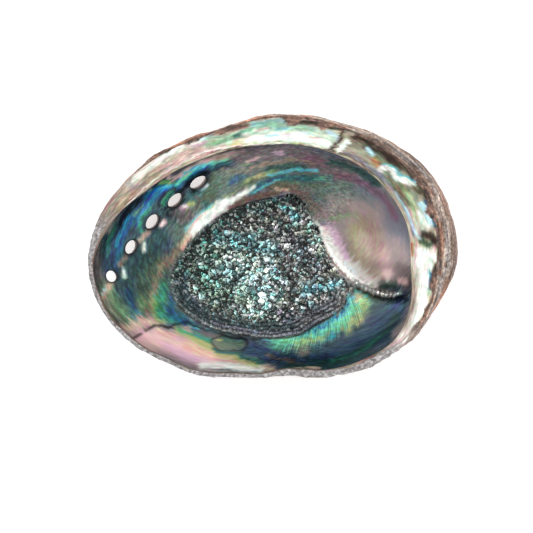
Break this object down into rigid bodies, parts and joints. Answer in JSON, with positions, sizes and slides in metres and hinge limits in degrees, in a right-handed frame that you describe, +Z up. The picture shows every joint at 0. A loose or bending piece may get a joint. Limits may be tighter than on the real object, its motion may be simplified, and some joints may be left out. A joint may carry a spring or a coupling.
{
  "type": "abalone shell",
  "caption": "Shallow ear-shaped sea shell lying open side up, pearly inside, with a flat inner shelf, a small coiled end and a row of breathing holes.",
  "frame": {"origin": "on the ground, under the middle of the shell's plan box", "axes": "+X along the shell towards its coiled end, +Y across it towards the shelf and the row of holes, +Z up out of the open side"},
  "size_m": [0.1498, 0.1067, 0.0376],
  "materials": {
    "nacre": "pearly and polished inside, matt and worn outside"
  },
  "bodies": {
    "root": {"shell": "nacre"}
  },
  "joints": []
}
